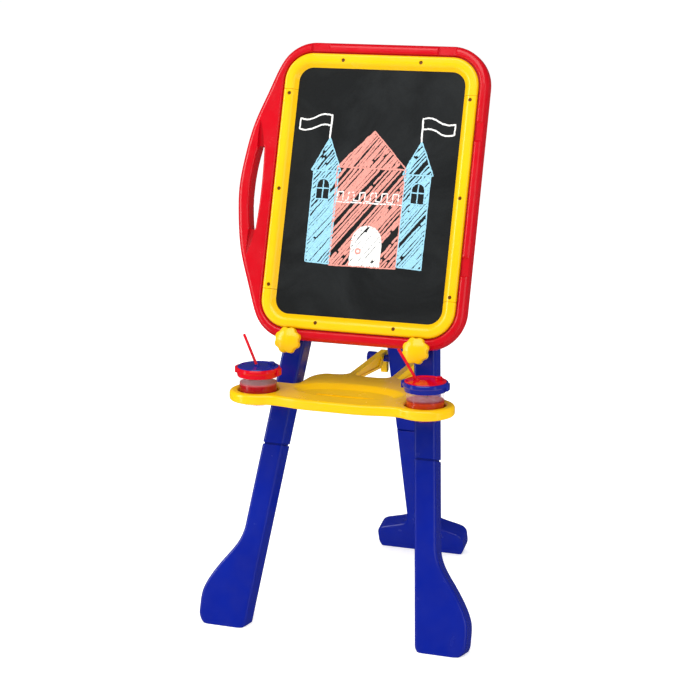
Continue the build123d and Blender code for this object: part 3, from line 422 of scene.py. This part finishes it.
door = arch(3, -131, -58, 28)
gable = [(-67, 46), (64, 47), (-2, 113)]
body = [(-64, -132), (62, -131), (63, 46), (-66, 46)]
hatch(hall, [body, door], slant, 5.2, 4.9, 0.17)
hatch(hall, [gable], slant, 4.6, 4.8, 0.1)
for outline in (body + body[:1], gable + gable[:1]):
    add_stroke(hall, outline, 2.8)
hatch(lines, [door], slant, 3.0, 4.4, 0.02)
add_stroke(lines, door, 2.8)
add_stroke(lines, [(-65, -17), (63, -17)], 3.0)
merlon = []
for k in range(6):
    left = -61 + 21 * k
    merlon += [(left, -14), (left + 1, 1), (left + 11, 2), (left + 11, -13)]
add_stroke(lines, merlon, 2.6)
turns = [math.tau * i / 10 for i in range(11)]
knob_ring = [(-11 + 4.5 * math.cos(a), -104 + 4.5 * math.sin(a)) for a in turns]
add_stroke(hall, knob_ring, 3.4, height=0.7)

blue_chalk = chalk("chalk_sky", (0.32, 0.62, 0.77), BOARD_BLACK)
pink_chalk = chalk("chalk_salmon", (0.74, 0.31, 0.26), BOARD_BLACK)
white_chalk = chalk("chalk_white", (0.86, 0.86, 0.84), (0.3, 0.3, 0.3))
finish_mesh(towers, "chalk_towers", blue_chalk, "board")
finish_mesh(hall, "chalk_hall", pink_chalk, "board")
finish_mesh(lines, "chalk_lines", white_chalk, "board")

# ------------------------------------------------------------------ brush tufts


def tuft(side):
    """Loose, pointed bristles in the place of the plain tuft of one brush."""
    node = f"brush_bristles_{side}"
    axis = axes[f"brush_{side}_pull"]
    if axis.z < 0:
        axis = -axis
    points = [v.co for v in nodes[node].data.vertices]
    middle = sum(points, Vector()) / len(points)
    along = [(p - middle).dot(axis) for p in points]
    root = middle + axis * max(along)
    length = max(along) - min(along)
    reach = max(((p - middle) - axis * (p - middle).dot(axis)).length for p in points)
    across = axis.orthogonal().normalized()
    over = axis.cross(across)
    bm = bmesh.new()
    for i in range(FIBRES):
        angle = i * GOLDEN_ANGLE
        spread = math.sqrt((i + 0.5) / FIBRES)
        out = across * math.cos(angle) + over * math.sin(angle)
        foot = root + out * (reach * 0.5 * spread)
        belly = foot - axis * (length * 0.45) + out * (reach * 0.4 * spread)
        tip_out = reach * spread * chance.uniform(0.05, 0.32)
        tip = root - axis * (length * chance.uniform(0.88, 1.0)) + out * tip_out
        rings = []
        for t in (0.0, 0.25, 0.5, 0.75, 1.0):
            centre = foot.lerp(belly, t).lerp(belly.lerp(tip, t), t)
            thick = FIBRE_HALF * (1.0 - 0.75 * t)
            corners = (across + over, over - across, -across - over, across - over)
            rings.append([bm.verts.new(centre + corner * thick) for corner in corners])
        for low, high in zip(rings, rings[1:]):
            for k in range(4):
                n = (k + 1) % 4
                bm.faces.new((low[k], low[n], high[n], high[k]))
        bm.faces.new(rings[0])
        bm.faces.new(rings[-1])
    piece = finish_mesh(bm, f"brush_tuft_{side}", finishes["bristle"], f"brush_{side}")
    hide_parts(node)


for side in ("left", "right"):
    tuft(side)

# ------------------------------------------------------------------ stage


def floor_material():
    s = Shader("studio_floor")
    cloud = s.noise(0.8, 2.0)
    s.link(s.mix(s.span(cloud, 0.3, 0.7, 0.0, 1.0), (0.93, 0.93, 0.93), (0.9, 0.9, 0.905)), "Base Color")
    s.link(s.span(cloud, 0.3, 0.7, 0.6, 0.75), "Roughness")
    s.set(Specular_IOR_Level=0.1, Emission_Color=(1.0, 1.0, 1.0, 1.0), Emission_Strength=FLOOR_GLOW)
    return s.material


bpy.ops.mesh.primitive_circle_add(vertices=96, radius=45.0, fill_type="NGON", location=(0.0, 0.0, -0.0005))
floor = bpy.context.object
floor.name = "studio_floor"
floor.data.materials.append(floor_material())
floor.visible_glossy = False


def softbox(name, place, aim, width, height, watts):
    """A rectangular light that lights and reflects, but isn't seen itself."""
    data = bpy.data.lights.new(name, "AREA")
    data.shape = "RECTANGLE"
    data.size = width
    data.size_y = height
    data.energy = watts
    lamp = bpy.data.objects.new(name, data)
    bpy.context.scene.collection.objects.link(lamp)
    lamp.location = place
    lamp.rotation_euler = (Vector(aim) - Vector(place)).to_track_quat("-Z", "Y").to_euler()
    lamp.visible_camera = False
    return lamp


easel = (cad_low + cad_high) / 2
softbox("key_left", (-3.0, -1.8, 2.2), easel, 1.2, 2.4, 44.0)
softbox("fill_right", (3.0, -2.6, 1.8), easel, 1.4, 2.2, 12.0)
softbox("overhead", (0.1, -1.5, 3.0), easel, 2.6, 1.8, 42.0)
rear_left = softbox("rear_left", (-2.4, 2.6, 1.8), easel, 1.0, 2.0, 24.0)
rear_left.visible_glossy = False
softbox("strip_left", (-1.7, -1.5, 0.45), (0.0, -0.2, 0.45), 0.35, 1.7, 5.0)
softbox("strip_right", (1.9, -0.9, 0.45), (0.0, -0.2, 0.45), 0.3, 1.7, 3.0)

world = bpy.data.worlds.new("studio")
world.use_nodes = True
bpy.context.scene.world = world
sky = world.node_tree
ray = sky.nodes.new("ShaderNodeLightPath")


def choose(socket, otherwise, value):
    """The strength for one kind of ray, or what the other kinds get."""
    node = sky.nodes.new("ShaderNodeMix")
    node.data_type = "FLOAT"
    node.inputs["B"].default_value = value
    if isinstance(otherwise, float):
        node.inputs["A"].default_value = otherwise
    else:
        sky.links.new(otherwise, node.inputs["A"])
    sky.links.new(ray.outputs[socket], node.inputs["Factor"])
    return node.outputs["Result"]


tone = choose("Is Camera Ray", choose("Is Glossy Ray", SKY_LIGHT, SKY_MIRRORED), SKY_SEEN)
sky.links.new(tone, sky.nodes["Background"].inputs["Strength"])
sky.nodes["Background"].inputs["Color"].default_value = (1.0, 1.0, 1.0, 1.0)

view = bpy.context.scene.view_settings
view.view_transform = "Standard"
view.look = "None"

# ------------------------------------------------------------------ camera
camera_data = bpy.data.cameras.new("camera")
camera_data.sensor_width = 36.0
camera_data.lens = 102.1
camera = bpy.data.objects.new("camera", camera_data)
bpy.context.scene.collection.objects.link(camera)
aim = Vector((0.0429, cad_low.y, 0.5328))
stand_back = Vector((1.1504, -3.0912, 0.7743))
camera.location = aim + stand_back
camera.rotation_euler = (aim - camera.location).to_track_quat("-Z", "Y").to_euler()
bpy.context.scene.camera = camera
